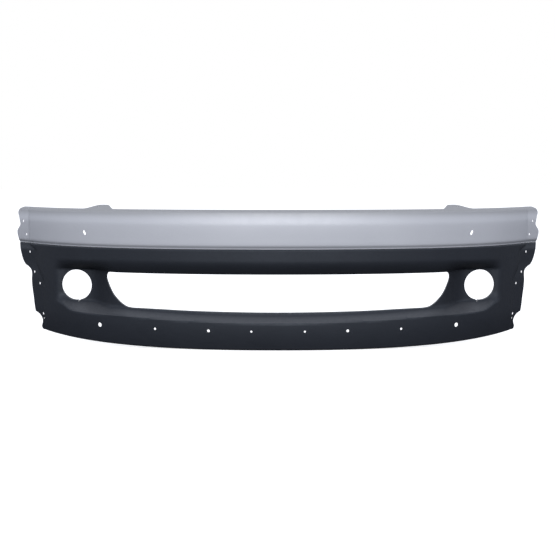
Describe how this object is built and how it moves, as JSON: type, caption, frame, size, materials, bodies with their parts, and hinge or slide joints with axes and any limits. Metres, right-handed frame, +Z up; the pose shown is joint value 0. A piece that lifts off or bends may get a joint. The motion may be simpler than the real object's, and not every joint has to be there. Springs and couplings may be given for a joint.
{
  "type": "front bumper cover",
  "caption": "Two-tone car front bumper cover: painted upper cover bolted along a seam to a grained lower cover with a wide intake, round fog lamp holes and wheel arch flanges.",
  "frame": {"origin": "middle of the bounding box's bottom face, under the cover, level with the lowest point of its lip", "axes": "+X to the car's left as seen from in front, so to the right of a viewer facing the bumper; -Y is the way the car faces; +Z up"},
  "size_m": [1.7756, 0.388, 0.4461],
  "materials": {
    "painted_silver": "silver-grey primer or base coat over a smooth moulding, satin",
    "grained_plastic": "fine-grained dark grey moulded plastic, low sheen",
    "plated_steel": "rolled strip, zinc plated",
    "fastener_steel": "zinc plated, passivated"
  },
  "bodies": {
    "root": {"upper_cover": "painted_silver", "lower_cover": "grained_plastic", "seam_retainer_left": "plated_steel", "seam_retainer_centre": "plated_steel", "seam_retainer_right": "plated_steel", "seam_screws": "fastener_steel", "seam_washers": "fastener_steel", "seam_nuts": "fastener_steel"}
  },
  "joints": []
}
